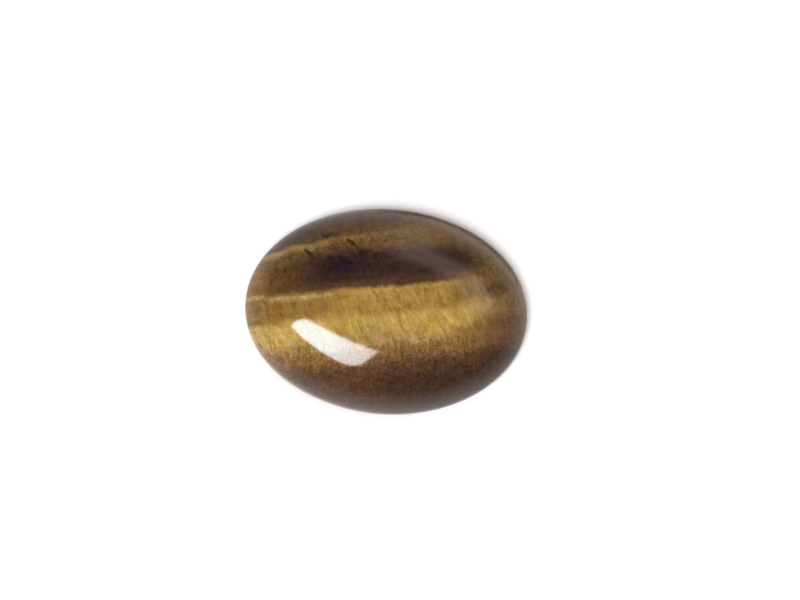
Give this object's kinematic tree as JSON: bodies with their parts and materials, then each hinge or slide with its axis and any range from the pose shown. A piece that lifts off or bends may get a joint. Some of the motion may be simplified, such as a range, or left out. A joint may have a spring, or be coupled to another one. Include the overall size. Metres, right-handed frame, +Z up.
{
  "type": "tiger's eye cabochon",
  "caption": "Polished oval tiger's eye cabochon with a domed face, a low girdle and a flat back.",
  "frame": {"origin": "centre of the flat back, on the surface that the stone lies on", "axes": "+X along the oval's length, +Y across its width, +Z up through the crown of the face"},
  "size_m": [0.03, 0.022, 0.007],
  "materials": {
    "polished_tigers_eye": "glassy polish over golden and dark brown bands of fine silky fibre"
  },
  "bodies": {
    "root": {"cabochon": "polished_tigers_eye"}
  },
  "joints": []
}
